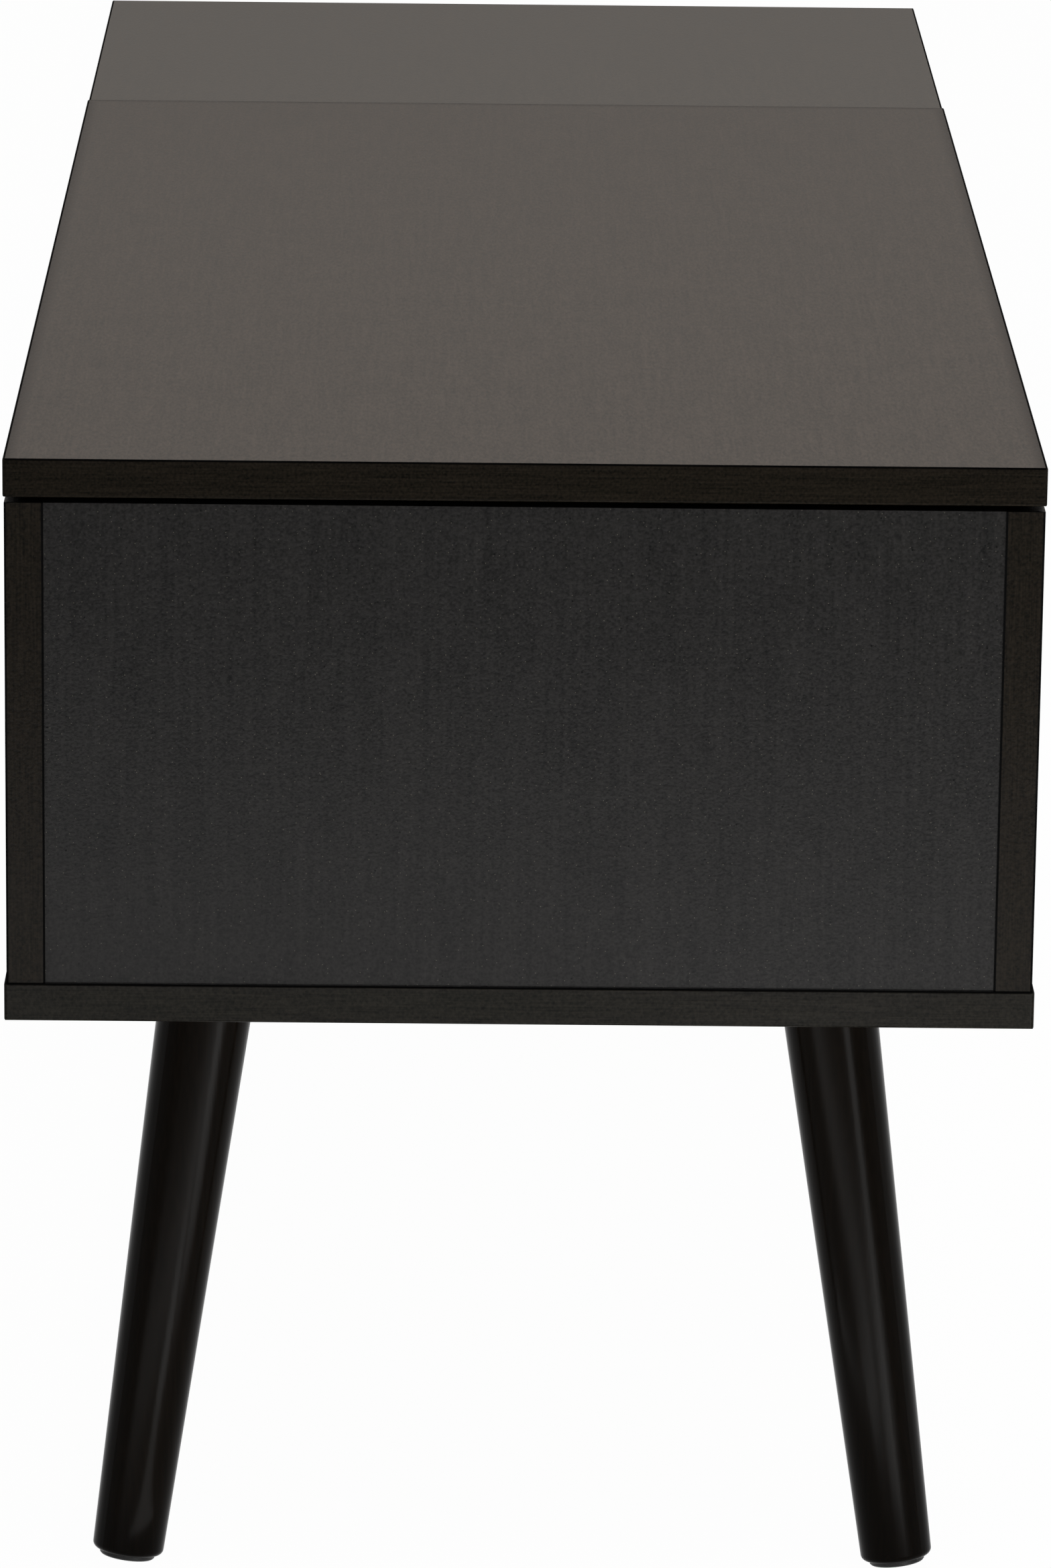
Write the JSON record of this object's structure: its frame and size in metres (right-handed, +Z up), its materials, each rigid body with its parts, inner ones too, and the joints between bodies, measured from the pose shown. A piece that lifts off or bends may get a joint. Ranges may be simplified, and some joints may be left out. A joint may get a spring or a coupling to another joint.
{
  "type": "lift top coffee table",
  "caption": "Long black coffee table on splayed turned legs; the larger part of its top lifts up and forward on parallel sprung arms over a storage box, the rest is fixed.",
  "frame": {"origin": "on the floor under the middle of the bottom panel", "axes": "+X from the back to the front, the side the lid comes out over; +Y from the left end to the right end as seen by someone at the front; +Z up"},
  "size_m": [0.4, 1, 0.4638],
  "materials": {
    "top_laminate": "near-black satin melamine faced board, tops",
    "wall_laminate": "near-black satin melamine faced board, walls and bottom",
    "edge_banding": "brownish black edge banding, eased edges",
    "leg_lacquer": "satin black lacquer on turned beech",
    "black_steel": "black powder coated pressed steel",
    "zinc_steel": "bright zinc plated steel",
    "spring_steel": "oiled spring wire",
    "cam_zinc": "die-cast zinc",
    "beech_dowel": "fluted beech dowel",
    "bumper_rubber": "black rubber",
    "glide_plastic": "black nylon",
    "washer_nylon": "natural nylon"
  },
  "bodies": {
    "table": {"bottom_panel": "wall_laminate", "bottom_edge_band": "edge_banding", "front_panel": "wall_laminate", "back_panel": "wall_laminate", "left_end_panel": "wall_laminate", "right_end_panel": "wall_laminate", "wall_end_bands": "edge_banding", "cross_rail": "wall_laminate", "fixed_top": "top_laminate", "fixed_top_edge_band": "edge_banding", "lid_bumpers": "bumper_rubber", "front_left_leg": "leg_lacquer", "back_left_leg": "leg_lacquer", "front_right_leg": "leg_lacquer", "back_right_leg": "leg_lacquer", "foot_glides": "glide_plastic", "leg_plates": "black_steel", "hanger_bolts": "zinc_steel", "leg_plate_screws": "zinc_steel", "left_base_plate": "black_steel", "right_base_plate": "black_steel", "base_pins": "zinc_steel", "base_washers": "washer_nylon", "stop_pins": "zinc_steel", "spring_anchors": "zinc_steel", "lift_springs": "spring_steel", "base_plate_screws": "zinc_steel", "cam_locks": "cam_zinc", "cam_bolts": "zinc_steel", "dowels": "beech_dowel", "long_screws": "zinc_steel"},
    "main_arms": {"left_main_arm": "black_steel", "right_main_arm": "black_steel", "tie_bar": "black_steel", "spring_legs": "spring_steel"},
    "left_second_arm_body": {"left_second_arm": "black_steel"},
    "right_second_arm_body": {"right_second_arm": "black_steel"},
    "lid": {"lift_lid": "top_laminate", "lid_edge_band": "edge_banding", "left_lid_bracket": "black_steel", "right_lid_bracket": "black_steel", "lid_pins": "zinc_steel", "lid_washers": "washer_nylon", "lid_bracket_screws": "zinc_steel"}
  },
  "joints": [
    {"name": "lift_swing", "type": "hinge", "parent": "table", "child": "main_arms", "pos_m": [0.02, 0, 0.3865], "axis": [0, 1, 0], "range_deg": [0, 125]},
    {"name": "left_second_swing", "type": "hinge", "parent": "table", "child": "left_second_arm_body", "pos_m": [0.07543, -0.4835, 0.40946], "axis": [0, 1, 0], "range_deg": [0, 125]},
    {"name": "right_second_swing", "type": "hinge", "parent": "table", "child": "right_second_arm_body", "pos_m": [0.07543, 0.2195, 0.40946], "axis": [0, 1, 0], "range_deg": [0, 125]},
    {"name": "lid_level", "type": "hinge", "parent": "main_arms", "child": "lid", "pos_m": [-0.14935, 0, 0.40132], "axis": [0, 1, 0], "range_deg": [-125, 0]}
  ],
  "couplings": [
    {"joint": "left_second_swing", "follows": "lift_swing", "ratio": 1},
    {"joint": "right_second_swing", "follows": "lift_swing", "ratio": 1},
    {"joint": "lid_level", "follows": "lift_swing", "ratio": -1}
  ]
}
